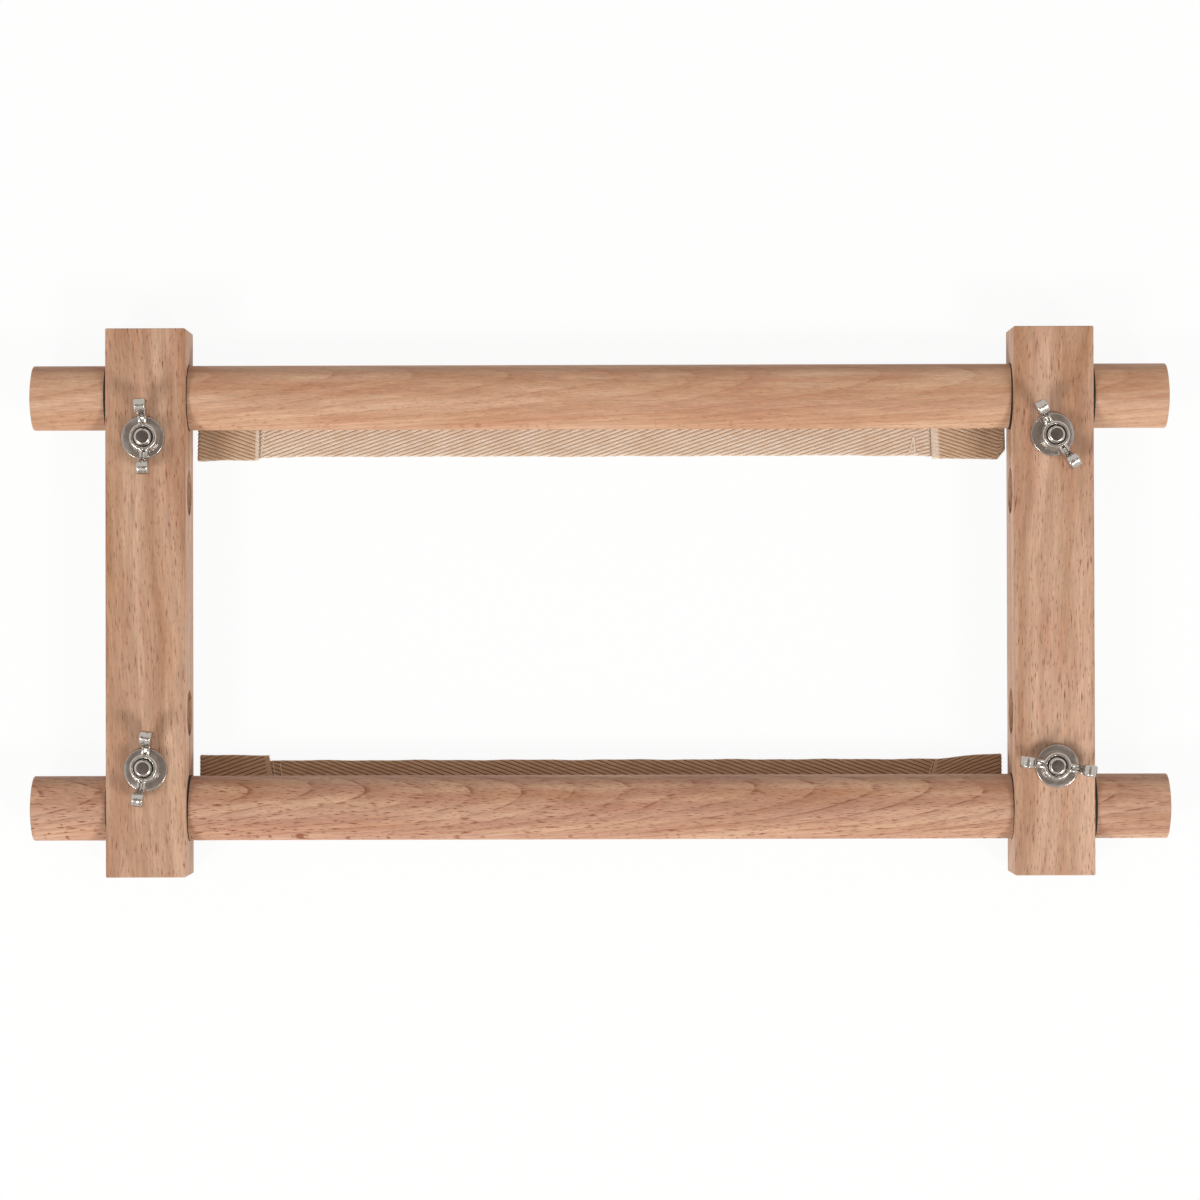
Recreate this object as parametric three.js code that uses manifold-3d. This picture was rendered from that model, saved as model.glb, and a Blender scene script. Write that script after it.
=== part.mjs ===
// Rotating tapestry frame for needlework. Two beech arms hold two beech rollers, each with a cotton
// webbing tape that the canvas is sewn to. Each end of each arm is a clamp: the roller turns in a
// bore, a slot runs from the bore to a relief hole, and a carriage bolt, washer and wing nut beside
// the bore pinch the slot. Undoing a wing nut lets the roller turn and the arm slide along it.
// Millimetres. +X runs along the rollers, +Y along the arms, +Z out of the front of the frame.
// The frame lies on its four bolt heads, with the origin under its middle.

import * as THREE from 'three';
import { RoundedBoxGeometry } from 'three/addons/geometries/RoundedBoxGeometry.js';
import { mergeVertices, toCreasedNormals } from 'three/addons/utils/BufferGeometryUtils.js';
import Module from 'manifold-3d';

// Arms
const armLength = 202.5;
const armWidth = 29.5;
const armDepth = 29.5;
const armEdgeRadius = 0.5;

// Rollers
const rollerDiameter = 24;
const rollerLength = 423.5;
const rollerInset = 25; // from the axis to the end of the arm
const rollerOverhang = 29.5; // how far each end stands out of its arm
const rollerCrown = 0.8; // rise of the domed end
const rollerEdgeRadius = 1.2;

// Clamping slots in the arms
const slotWidth = 2;
const reliefDiameter = 17;
const reliefOffset = 35.25; // from the roller's axis

// Carriage bolts, a quarter of an inch across
const boltDiameter = 6.35;
const boltLength = 40; // under the head
const boltTipChamfer = 1;
const headDiameter = 15;
const headHeight = 3.4;
const headRim = 0.7; // upright edge of the head
const neckWidth = 6.6;
const neckDepth = 4;

// Washers
const washerDiameter = 15.9;
const washerHoleDiameter = 8.4;
const washerThickness = 1.6;
const washerEdge = 0.3;

// Wing nuts
const nutBaseDiameter = 11.6;
const nutTopDiameter = 10.2;
const nutHeight = 6.6;
const nutFoot = 1; // upright foot below the taper
const nutEdge = 0.4;
const wingSpan = 28;
const wingHeight = 14.5;
const wingThickness = 3.3;
const wingRootHeight = 1.2; // underside of the wing where it leaves the hub
const wingTipWidth = 4.3; // across the wing
const wingTipLength = 5.2; // along the wing
const wingEdge = 0.4;
const wingGrooveWidth = 1.2;
const wingGrooveDepth = 1;

// Webbing tapes
const tapeThickness = 1;
const tapeSeat = 8.5; // width fixed round the roller
const tapeFlap = 21.8; // width that stands free
const tapeCurl = 70; // radius of the free flap
const hemGap = 0.2; // between the two layers of a folded end
const hemStep = 6; // length over which the tape climbs onto its folded end

// Clearances
const turningGap = 0.3; // round each roller and bolt, and under the tapes
const restingGap = 0.1; // between flat faces that rest on each other

// Each tape's gaps to the arms, the lengths of its folded ends and how far they lie askew, and its
// dip towards the back, in degrees
const upperTape = { leftGap: 2.1, rightGap: 0.8, leftHem: 23, rightHem: 27.5, hemShift: 1.2, dip: 0 };
const lowerTape = { leftGap: 2.2, rightGap: 1.9, leftHem: 26, rightHem: 25, hemShift: 2, dip: 20 };

// How each wing nut is turned and to which side each washer hangs, in degrees
const nutAngles = { upper_left: 92.5, upper_right: 120, lower_left: 82.5, lower_right: -8 };
const washerAngles = { upper_left: 180, upper_right: 145, lower_left: 275, lower_right: -15 };

// Sizes that follow from those above
const armSpacing = rollerLength - 2 * rollerOverhang - armWidth; // centre line to centre line
const rollerSpacing = armLength - 2 * rollerInset; // axis to axis
const rollerRadius = rollerDiameter / 2;
const boreRadius = rollerRadius + turningGap;
const reliefRadius = reliefDiameter / 2;
const boltRadius = boltDiameter / 2;
const boltHoleRadius = boltRadius + turningGap;
const boltOffset = rollerRadius + boltRadius + turningGap; // the bolt passes just beside the roller
const boltSpacing = rollerSpacing - 2 * boltOffset;
const armBack = headHeight + restingGap;
const armFront = armBack + armDepth;
const axisHeight = armBack + armDepth / 2;
const washerPlay = washerHoleDiameter / 2 - boltRadius - turningGap; // how far off centre it hangs
const washerHeight = armFront + restingGap;
const nutSeatHeight = washerHeight + washerThickness + restingGap;
const overlap = 1; // how far a cutter or a joined piece runs past the face that it meets

const beech = { color: 0xc89b74, roughness: 0.6, metalness: 0 };
const steel = { color: 0xb9b6b2, roughness: 0.25, metalness: 1 };
const cotton = { color: 0xcdb08c, roughness: 0.95, metalness: 0 };

const wasm = await Module();
wasm.setup();

// A closed geometry as a solid that can be joined and cut.
function solidOf(geometry) {
  const bare = geometry.clone();
  bare.deleteAttribute('normal');
  bare.deleteAttribute('uv');
  const merged = mergeVertices(bare);
  const mesh = new wasm.Mesh({
    numProp: 3,
    vertProperties: Float32Array.from(merged.attributes.position.array),
    triVerts: Uint32Array.from(merged.index.array),
  });
  return new wasm.Manifold(mesh);
}

// A solid's faces as a geometry, smooth across shallow angles and crisp across sharp ones.
function geometryOf(solid) {
  const { vertProperties, triVerts } = solid.getMesh();
  const geometry = new THREE.BufferGeometry();
  geometry.setAttribute('position', new THREE.BufferAttribute(vertProperties, 3));
  geometry.setIndex(new THREE.BufferAttribute(triVerts, 1));
  return toCreasedNormals(geometry, Math.PI / 6);
}

// A profile of (radius, height) points, turned about the Z axis.
function turned(profile, segments) {
  const points = profile.map(([radius, height]) => new THREE.Vector2(radius, height));
  return new THREE.LatheGeometry(points, segments).rotateX(Math.PI / 2);
}

// A flat plate of even thickness with softened edges. Its outline stands in the XZ plane.
function uprightPlate(outline, thickness, edge) {
  const plate = new THREE.ExtrudeGeometry(outline, {
    depth: thickness - 2 * edge,
    curveSegments: 5,
    bevelThickness: edge,
    bevelSize: edge,
    bevelOffset: -edge,
    bevelSegments: 1,
  });
  return plate.translate(0, 0, edge - thickness / 2).rotateX(Math.PI / 2);
}

// Points [x, y] along a circular arc, angles in radians.
function arcPoints(x, y, radius, start, end, steps) {
  return Array.from({ length: steps + 1 }, (_, i) => {
    const angle = THREE.MathUtils.lerp(start, end, i / steps);
    return [x + radius * Math.cos(angle), y + radius * Math.sin(angle)];
  });
}

// The profile of a shallow dome, from its edge at [halfWidth, height] to its crown on the axis.
function domePoints(halfWidth, height, rise, steps) {
  const radius = (halfWidth ** 2 + rise ** 2) / (2 * rise);
  const edgeAngle = Math.acos(halfWidth / radius);
  const arc = arcPoints(0, height + rise - radius, radius, edgeAngle, Math.PI / 2, steps);
  return [...arc.slice(0, -1), [0, height + rise]];
}

// The opening at one end of an arm, seen along the roller: bore, clamping slot and relief hole.
// The roller's axis is at the outline's origin and the slot runs along +X.
function keyholeOutline() {
  const boreMouth = Math.asin(slotWidth / 2 / boreRadius);
  const reliefMouth = Math.asin(slotWidth / 2 / reliefRadius);
  const outline = new THREE.Shape();
  outline.absarc(0, 0, boreRadius, boreMouth, 2 * Math.PI - boreMouth);
  outline.absarc(reliefOffset, 0, reliefRadius, Math.PI + reliefMouth, 3 * Math.PI - reliefMouth);
  outline.closePath();
  return outline;
}

// What is cut away for the clamp at the +Y end of an arm: the keyhole along X, the bolt's hole
// from front to back, and the square seat for the bolt's neck in the back face.
function clampCutters() {
  const keyhole = new THREE.ExtrudeGeometry(keyholeOutline(), {
    depth: armWidth + 2 * overlap,
    curveSegments: 24,
    bevelEnabled: false,
  });
  keyhole.rotateZ(-Math.PI / 2).rotateY(Math.PI / 2);
  keyhole.translate(-armWidth / 2 - overlap, rollerSpacing / 2, 0);

  const boltHole = new THREE.CylinderGeometry(boltHoleRadius, boltHoleRadius, armDepth + 2 * overlap, 24);
  boltHole.rotateX(Math.PI / 2).translate(0, boltSpacing / 2, 0);

  const seatWidth = neckWidth + 2 * turningGap;
  const seatDepth = neckDepth + turningGap + overlap;
  const neckSeat = new THREE.BoxGeometry(seatWidth, seatWidth, seatDepth);
  neckSeat.translate(0, boltSpacing / 2, seatDepth / 2 - armDepth / 2 - overlap);
  return [keyhole, boltHole, neckSeat];
}

// An arm, centred on the origin, with a clamp at each end.
function makeArm() {
  let arm = solidOf(new RoundedBoxGeometry(armWidth, armLength, armDepth, 2, armEdgeRadius));
  for (const cutter of clampCutters()) {
    arm = arm.subtract(solidOf(cutter));
    arm = arm.subtract(solidOf(cutter.rotateZ(Math.PI)));
  }
  return geometryOf(arm);
}

// A roller along X, centred on the origin, with softened edges and domed ends.
function makeRoller() {
  const flatRadius = rollerRadius - rollerEdgeRadius;
  const shoulder = rollerLength / 2 - rollerCrown;
  const half = [
    ...arcPoints(flatRadius, shoulder - rollerEdgeRadius, rollerEdgeRadius, 0, Math.PI / 2, 3),
    ...domePoints(flatRadius, shoulder, rollerCrown, 3).slice(1),
  ];
  const otherHalf = half.map(([radius, height]) => [radius, -height]).reverse();
  return turned([...otherHalf, ...half], 36).rotateY(Math.PI / 2);
}

// The outline of a strip of even thickness along a line of points.
function stripOutline(line, thickness) {
  const quarterTurn = Math.PI / 2;
  const left = [];
  const right = [];
  line.forEach((point, i) => {
    const next = line[Math.min(i + 1, line.length - 1)];
    const last = line[Math.max(i - 1, 0)];
    const normal = next.clone().sub(last).normalize().rotateAround(new THREE.Vector2(), quarterTurn);
    left.push(point.clone().addScaledVector(normal, thickness / 2));
    right.push(point.clone().addScaledVector(normal, -thickness / 2));
  });
  return new THREE.Shape([...right, ...left.reverse()]);
}

// The middle line of a tape's right half, x along the tape and y away from the roller. The tape
// climbs onto its own folded end, turns round at its end and comes back to its raw edge.
function hemLine(tapeLength, hemLength) {
  const low = tapeThickness / 2;
  const high = low + tapeThickness + hemGap;
  const foldRadius = (high - low) / 2;
  const foldCentre = tapeLength / 2 - foldRadius - tapeThickness / 2;
  const rawEdge = tapeLength / 2 - hemLength;
  const climbEnd = rawEdge - hemGap;
  const steps = 4;
  const climb = Array.from({ length: steps + 1 }, (_, i) => {
    const rise = THREE.MathUtils.smoothstep(i, 0, steps) * (high - low);
    return [climbEnd - hemStep * (1 - i / steps), low + rise];
  });
  const fold = arcPoints(foldCentre, low + foldRadius, foldRadius, Math.PI / 2, -Math.PI / 2, 6);
  return [...climb, ...fold, [rawEdge, low]].map(([x, y]) => new THREE.Vector2(x, y));
}

// A tape for a roller on the X axis. Its seated edge follows the back of the roller, and the rest
// leaves it towards +Y with a slight curl. The ends are folded over on the roller's side, and each
// folded layer lies askew, shifted towards the free edge.
function makeTape({ leftGap, rightGap, leftHem, rightHem, hemShift }) {
  const length = armSpacing - armWidth - leftGap - rightGap;
  const offset = (leftGap - rightGap) / 2;
  const left = hemLine(length, leftHem).map(({ x, y }) => new THREE.Vector2(-x, y)).reverse();
  const outline = stripOutline([...left, ...hemLine(length, rightHem)], tapeThickness);
  const tape = new THREE.ExtrudeGeometry(outline, {
    depth: tapeSeat + tapeFlap,
    steps: 12,
    bevelEnabled: false,
  });
  const seatRadius = rollerRadius + turningGap;
  const { position } = tape.attributes;
  for (let i = 0; i < position.count; i += 1) {
    const x = position.getX(i);
    const rise = position.getY(i);
    const rawEdge = length / 2 - (x < 0 ? leftHem : rightHem);
    const onHem = Math.abs(x) > rawEdge - hemGap / 2;
    const folded = onHem ? 1 - THREE.MathUtils.smoothstep(rise, tapeThickness, tapeThickness + hemGap) : 0;
    const along = position.getZ(i) - tapeSeat + hemShift * folded;
    const bend = along < 0 ? seatRadius : tapeCurl;
    const angle = along / bend - Math.PI / 2;
    const reach = bend + rise;
    position.setXYZ(i, x + offset, reach * Math.cos(angle), reach * Math.sin(angle) + bend - seatRadius);
  }
  return geometryOf(solidOf(tape));
}

// A carriage bolt along Z, with the underside of its domed head at z = 0.
function makeBolt() {
  const dome = domePoints(headDiameter / 2, headRim, headHeight - headRim, 5);
  const profile = [
    ...dome.map(([radius, height]) => [radius, -height]).reverse(),
    [headDiameter / 2, 0],
    [boltRadius, 0],
    [boltRadius, boltLength - boltTipChamfer],
    [boltRadius - boltTipChamfer, boltLength],
    [0, boltLength],
  ];
  const neck = new THREE.BoxGeometry(neckWidth, neckWidth, neckDepth + overlap);
  neck.translate(0, 0, (neckDepth - overlap) / 2);
  return geometryOf(solidOf(turned(profile, 28)).add(solidOf(neck)));
}

// A washer on z = 0, with the edge of its front face softened.
function makeWasher() {
  const hole = washerHoleDiameter / 2;
  const rim = washerDiameter / 2;
  const profile = [
    [hole, 0],
    [rim, 0],
    [rim, washerThickness - washerEdge],
    [rim - washerEdge, washerThickness],
    [hole, washerThickness],
    [hole, 0],
  ];
  return turned(profile, 36);
}

// One wing of a wing nut, running out along +X: a thin blade that leans outwards, with a broader
// tip, and a groove down its inner edge from the tip to the hub.
function makeWing() {
  const end = wingSpan / 2;
  const tipRadius = wingTipLength / 2;
  const tipX = end - tipRadius;
  const tipZ = wingHeight - tipRadius;
  const rootX = (nutTopDiameter - wingGrooveDepth) / 2;
  const rootZ = nutHeight - nutEdge;
  const innerEdge = (path, shift) => path.bezierCurveTo(
    tipX - tipRadius - shift,
    THREE.MathUtils.lerp(rootZ, tipZ, 0.5) + shift,
    THREE.MathUtils.lerp(rootX, tipX, 0.5) - shift,
    rootZ + shift,
    rootX - shift,
    rootZ + shift,
  );

  const blade = new THREE.Shape();
  blade.moveTo(rootX, wingRootHeight);
  blade.quadraticCurveTo(end - wingEdge, wingRootHeight, end - wingEdge, tipZ);
  blade.absarc(tipX, tipZ, tipRadius - wingEdge, 0, Math.PI);
  innerEdge(blade, 0);
  blade.closePath();

  const tip = new THREE.Shape();
  tip.absarc(tipX, tipZ, tipRadius, 0, Math.PI);
  tip.quadraticCurveTo(tipX, tipZ - wingTipLength, end - wingEdge, tipZ - 1.5 * wingTipLength);
  tip.lineTo(end, tipZ);

  const groove = new THREE.Shape();
  groove.moveTo(tipX - tipRadius, tipZ);
  innerEdge(groove, -wingGrooveDepth);
  groove.lineTo(rootX, rootZ + overlap);
  groove.lineTo(tipX - tipRadius - overlap, tipZ);

  return solidOf(uprightPlate(blade, wingThickness, wingEdge))
    .add(solidOf(uprightPlate(tip, wingTipWidth, wingEdge)))
    .subtract(solidOf(uprightPlate(groove, wingGrooveWidth, 0)));
}

// A wing nut on z = 0, with its wings along X.
function makeWingNut() {
  const bore = boltRadius + turningGap;
  const base = nutBaseDiameter / 2;
  const top = nutTopDiameter / 2;
  const profile = [
    [bore, nutEdge],
    [bore + nutEdge, 0],
    [base, 0],
    [base, nutFoot],
    [top, nutHeight - nutEdge],
    [top - nutEdge, nutHeight],
    [bore + nutEdge, nutHeight],
    [bore, nutHeight - nutEdge],
    [bore, nutEdge],
  ];
  const wing = makeWing();
  return geometryOf(solidOf(turned(profile, 24)).add(wing).add(wing.rotate([0, 0, 180])));
}

// A named mesh with a finish of its own, at a place in its group.
function addPiece(group, name, geometry, finish, x = 0, y = 0, z = 0) {
  const piece = new THREE.Mesh(geometry, new THREE.MeshStandardMaterial(finish));
  piece.name = name;
  piece.position.set(x, y, z);
  group.add(piece);
  return piece;
}

const arm = makeArm();
const roller = makeRoller();
const bolt = makeBolt();
const washer = makeWasher();
const wingNut = makeWingNut();

const frame = new THREE.Group();

addPiece(frame, 'left_arm', arm, beech, -armSpacing / 2, 0, axisHeight);
addPiece(frame, 'right_arm', arm, beech, armSpacing / 2, 0, axisHeight);

for (const [row, up, tape] of [['upper', 1, upperTape], ['lower', -1, lowerTape]]) {
  addPiece(frame, `${row}_roller`, roller, beech, 0, (up * rollerSpacing) / 2, axisHeight);

  // A tape is made with its flap towards +Y, as the lower one lies. The upper one is turned end for
  // end, which swaps its left and its right.
  const { leftGap, rightGap, leftHem, rightHem } = tape;
  const swapped = { ...tape, leftGap: rightGap, rightGap: leftGap, leftHem: rightHem, rightHem: leftHem };
  const tapeGroup = new THREE.Group();
  tapeGroup.position.set(0, (up * rollerSpacing) / 2, axisHeight);
  tapeGroup.rotation.z = up < 0 ? 0 : Math.PI;
  const webbing = addPiece(tapeGroup, `${row}_tape`, makeTape(up < 0 ? tape : swapped), cotton);
  webbing.rotation.x = THREE.MathUtils.degToRad(-tape.dip);
  frame.add(tapeGroup);

  for (const [column, right] of [['left', -1], ['right', 1]]) {
    const corner = `${row}_${column}`;
    const x = (right * armSpacing) / 2;
    const y = (up * boltSpacing) / 2;
    addPiece(frame, `${corner}_bolt`, bolt, steel, x, y, headHeight);
    const hang = THREE.MathUtils.degToRad(washerAngles[corner]);
    const washerX = x + washerPlay * Math.cos(hang);
    const washerY = y + washerPlay * Math.sin(hang);
    addPiece(frame, `${corner}_washer`, washer, steel, washerX, washerY, washerHeight);
    const nut = addPiece(frame, `${corner}_wing_nut`, wingNut, steel, x, y, nutSeatHeight);
    nut.rotation.z = THREE.MathUtils.degToRad(nutAngles[corner]);
  }
}

export default frame;
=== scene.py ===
# Rotating tapestry frame for needlework: beech arms and rollers, cotton webbing tapes and plated
# clamping bolts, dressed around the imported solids. Metres. The frame lies on its bolt heads, with
# +X along the rollers, +Y along the arms and +Z out of the front, where the wing nuts are.

import math

import bmesh
import bpy
import numpy as np
from mathutils import Matrix, Vector


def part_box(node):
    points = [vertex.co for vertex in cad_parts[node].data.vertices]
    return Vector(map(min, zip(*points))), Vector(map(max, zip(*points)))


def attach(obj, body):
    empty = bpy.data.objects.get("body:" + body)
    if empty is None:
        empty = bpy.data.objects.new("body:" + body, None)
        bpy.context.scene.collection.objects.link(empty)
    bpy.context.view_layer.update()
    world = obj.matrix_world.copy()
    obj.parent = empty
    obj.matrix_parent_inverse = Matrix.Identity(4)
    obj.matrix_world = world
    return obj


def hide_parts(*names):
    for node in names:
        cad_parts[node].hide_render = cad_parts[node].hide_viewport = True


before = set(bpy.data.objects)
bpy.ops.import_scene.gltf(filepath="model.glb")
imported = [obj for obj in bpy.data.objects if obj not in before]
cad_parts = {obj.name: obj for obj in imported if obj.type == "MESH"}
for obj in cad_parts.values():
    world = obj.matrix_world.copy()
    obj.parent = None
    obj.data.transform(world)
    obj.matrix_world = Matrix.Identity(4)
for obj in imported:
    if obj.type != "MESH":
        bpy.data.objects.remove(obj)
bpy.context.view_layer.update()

mm = 0.001

# What the solids say about the frame
roller_low, roller_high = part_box("upper_roller")
arm_low, arm_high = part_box("right_arm")
roller_radius = (roller_high.z - roller_low.z) / 2
roller_length = roller_high.x - roller_low.x
roller_y = (roller_high.y + roller_low.y) / 2
axis_z = (roller_high.z + roller_low.z) / 2
arm_x = (arm_high.x + arm_low.x) / 2
arm_width = arm_high.x - arm_low.x
arm_length = arm_high.y - arm_low.y
arm_depth = arm_high.z - arm_low.z
corners = [(row, column) for row in ("upper", "lower") for column in ("left", "right")]

# Woodwork, as in the solids
arm_edge = 0.5 * mm
roller_crown = 1.2 * mm
roller_edge = 0.6 * mm
turning_gap = 0.3 * mm
slot_width = 2 * mm
relief_radius = 8.5 * mm
relief_offset = 35.25 * mm  # from the bore's centre

# Beech: the spacing of its growth rings, and how far the pith is from the surfaces that show
ring_spacing = 2.6 * mm
pith_distance = 62 * mm

# How far the black sleeve in each bore stands out of its arm: on the outside, on the inside, and
# how much more of it shows on the inside for each length further up the frame
sleeve_reach = {
    ("upper", "left"): (1.05 * mm, 0.3 * mm, 0),
    ("upper", "right"): (1.0 * mm, 0.6 * mm, -0.02),
    ("lower", "left"): (0.65 * mm, 0.55 * mm, 0.03),
    ("lower", "right"): (1.25 * mm, 0.3 * mm, 0.015),
}

# Carriage bolts and washers
bolt_radius = 3.175 * mm
bolt_offset = roller_radius + bolt_radius + turning_gap
bolt_chamfer = 1 * mm
thread_pitch = 1.27 * mm
thread_depth = 0.62 * mm
thread_length = 21 * mm
head_radius = 7.5 * mm
head_height = 3.4 * mm
head_rim = 0.7 * mm
neck_half = 3.3 * mm
neck_depth = 4 * mm
washer_hole = 4.2 * mm
washer_edge = 0.3 * mm

# Tapes, as in the solids: width fixed round the roller, free width and the radius of its curl
tape_seat = 8.5 * mm
tape_flap = 21.8 * mm
tape_curl = 70 * mm
tape_half = 0.46 * mm  # half of the thickness, over the ribs
seat_clearance = 0.12 * mm  # between the roller and the tape's face
hem_climb = 1.05 * mm  # from layer to layer in a folded end
hem_step = 6 * mm  # length over which the tape climbs beside a folded end

# Twill: the ribs' depth and their spacing across and along the tape
rib_depth = 0.22 * mm
rib_across = 1.45 * mm
rib_along = 4.05 * mm
rows_to_a_rib = 6  # of the mesh

# The free edge's waves, out of the cloth and in it: height, length over 2 pi, and start
cloth_waves = ((0.192 * mm, 23 * mm, 1.3), (0.12 * mm, 9.5 * mm, 0.4))
edge_waves = ((0.09 * mm, 6.1 * mm, 0), (0.07 * mm, 2.7 * mm, 2))

# Seams: where the first stitch starts, how long a pair of zigzags or a plain stitch is, and the
# lower tape's straight rows, each with its offsets from the raw edge at the fixed and free edges
thread_radius = 0.19 * mm
seam_start = 0.9 * mm
zigzag_pitch = 1.4 * mm
stitch_pitch = 1.9 * mm
needle_depth = 0.15 * mm  # how far a stitch pulls the cloth in
lower_rows = (
    ("left", 6.8 * mm, 1.4 * mm), ("left", 9.5 * mm, 4.1 * mm), ("right", 9.7 * mm, 0.7 * mm),
)

# Names of the nodes that the materials use most
MATH, VECTOR, MIX = "ShaderNodeMath", "ShaderNodeVectorMath", "ShaderNodeMix"
NOISE, SPREAD = "ShaderNodeTexNoise", "ShaderNodeMapRange"


def linear(colour):
    """A colour written as an sRGB hex value, as Blender's linear RGBA."""
    channels = [int(colour[i:i + 2], 16) / 255 for i in (1, 3, 5)]
    return [c / 12.92 if c <= 0.04045 else ((c + 0.055) / 1.055) ** 2.4 for c in channels] + [1]


def per_mm(*sizes):
    """Factors that turn metres into counts of features of the given sizes in millimetres."""
    return [1 / (size * mm) for size in sizes]


def feed(node, inputs):
    """Sets a node's inputs: each to a value, another node's output, or a node's first output."""
    for key, value in inputs.items():
        if isinstance(value, bpy.types.Node):
            value = value.outputs[0]
        if isinstance(value, bpy.types.NodeSocket):
            node.id_data.links.new(value, node.inputs[key])
        else:
            node.inputs[key].default_value = value


def add(tree, kind, inputs=(), **settings):
    """Adds a node with its settings and inputs."""
    node = tree.nodes.new(kind)
    for name, value in settings.items():
        setattr(node, name, value)
    feed(node, dict(inputs))
    return node


def new_material(name):
    """A material with a plain principled shader, as (material, its tree, the shader)."""
    material = bpy.data.materials.new(name)
    material.use_nodes = True
    tree = material.node_tree
    tree.nodes.clear()
    shader = add(tree, "ShaderNodeBsdfPrincipled")
    add(tree, "ShaderNodeOutputMaterial", {"Surface": shader})
    return material, tree, shader


def beech(name, pith, turn, pale, deep, fleck, seed, marked=1.0, stroke_size=1.0, lined=0.0):
    """Beech, planed or turned, then sanded and left bare: a pinkish tan with faint rings, fine
    fibres and the short dark strokes of its rays. pith is a point on the log's centre line, turn
    the log's direction, marked how strongly the rays show, stroke_size how large they are, and
    lined how dark the thin line at the end of each ring is."""
    material, tree, shader = new_material(name)
    coordinates = add(tree, "ShaderNodeTexCoord")
    log = add(tree, "ShaderNodeMapping", {
        "Vector": coordinates.outputs["Object"], "Location": pith, "Rotation": turn,
    }, vector_type="TEXTURE")

    # The grain wanders slightly, so every pattern reads shifted coordinates
    coarse = add(tree, VECTOR, {0: log, 1: per_mm(26, 26, 80)}, operation="MULTIPLY")
    wander = add(tree, NOISE, {
        "Vector": coarse, "W": seed, "Scale": 1.0, "Detail": 1.5,
    }, noise_dimensions="4D")
    centred = add(tree, VECTOR, {0: wander.outputs["Color"], 1: [-0.5] * 3}, operation="ADD")
    reach = [6 * mm, 6 * mm, 0]
    shifted = add(tree, VECTOR, {0: centred, 1: reach, 2: log}, operation="MULTIPLY_ADD")
    place = add(tree, "ShaderNodeSeparateXYZ", {0: shifted}).outputs
    flat = add(tree, VECTOR, {0: shifted, 1: (1, 1, 0)}, operation="MULTIPLY")
    radius = add(tree, VECTOR, {0: flat}, operation="LENGTH").outputs["Value"]
    angle = add(tree, MATH, {0: place[1], 1: place[0]}, operation="ARCTAN2")
    around = add(tree, MATH, {0: angle, 1: pith_distance}, operation="MULTIPLY")
    wood = add(tree, "ShaderNodeCombineXYZ", {0: radius, 1: around, 2: place[2]})

    def uneven(sizes, change, detail, roughness=0.5):
        """Noise in the wood, drawn out to sizes in millimetres out, round and along the log.
        change makes each one differ from the others."""
        spot = add(tree, VECTOR, {0: wood, 1: per_mm(*sizes)}, operation="MULTIPLY")
        return add(tree, NOISE, {
            "Vector": spot, "W": seed + change, "Scale": 1.0, "Detail": detail,
            "Roughness": roughness,
        }, noise_dimensions="4D")

    # Soft changes of colour, in long streaks
    colour = linear(pale)
    for sizes, detail, low, high, amount, tone in (
        ((9, 5, 140), 3, 0.35, 0.65, 1.0, deep),
        ((14, 8, 70), 2, 0.5, 0.7, 0.5, "#b58259"),
        ((12, 5, 40), 2, 0.5, 0.7, 0.3, "#bd8266"),
    ):
        streak = uneven(sizes, sizes[0], detail)
        share = add(tree, SPREAD, {
            "Value": streak, "From Min": low, "From Max": high, "To Max": amount,
        }, interpolation_type="SMOOTHSTEP")
        colour = add(tree, MIX, {0: share, 6: colour, 7: linear(tone)}, data_type="RGBA").outputs[2]

    # Growth rings, each darkest just before it ends
    rings = add(tree, MATH, {0: radius, 1: ring_spacing}, operation="DIVIDE")
    ring = add(tree, MATH, {0: rings}, operation="FRACT")
    rise = add(tree, SPREAD, {
        "Value": ring, "From Min": 0.3, "From Max": 0.9,
    }, interpolation_type="SMOOTHSTEP")
    fall = add(tree, SPREAD, {"Value": ring, "From Min": 1.0, "From Max": 0.93})
    late = add(tree, MATH, {0: rise, 1: fall}, operation="MULTIPLY")
    late = add(tree, MATH, {0: late, 1: 0.2}, operation="MULTIPLY")

    # The line at a ring's end, broken into dashes a few millimetres long
    rise = add(tree, SPREAD, {"Value": ring, "From Min": 0.86, "From Max": 0.96})
    fall = add(tree, SPREAD, {"Value": ring, "From Min": 1.0, "From Max": 0.98})
    line = add(tree, MATH, {0: rise, 1: fall}, operation="MULTIPLY")
    broken = uneven((20, 1.6, 7), 5, 2.0)
    share = add(tree, SPREAD, {
        "Value": broken, "From Min": 0.46, "From Max": 0.58, "To Max": lined,
    })
    line = add(tree, MATH, {0: line, 1: share}, operation="MULTIPLY")
    for share in (late, line):
        colour = add(tree, MIX, {
            0: share, 6: colour, 7: linear(fleck),
        }, data_type="RGBA").outputs[2]

    # Fibres about 0.4 mm wide, as coarse as they need to be to show
    fibres = uneven((0.6, 0.42, 9), 11, 3.0, roughness=0.65)
    light = add(tree, SPREAD, {
        "Value": fibres, "From Min": 0.3, "From Max": 0.7, "To Min": 0.82, "To Max": 1.18,
    })
    colour = add(tree, VECTOR, {0: colour, "Scale": light}, operation="SCALE")

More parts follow.
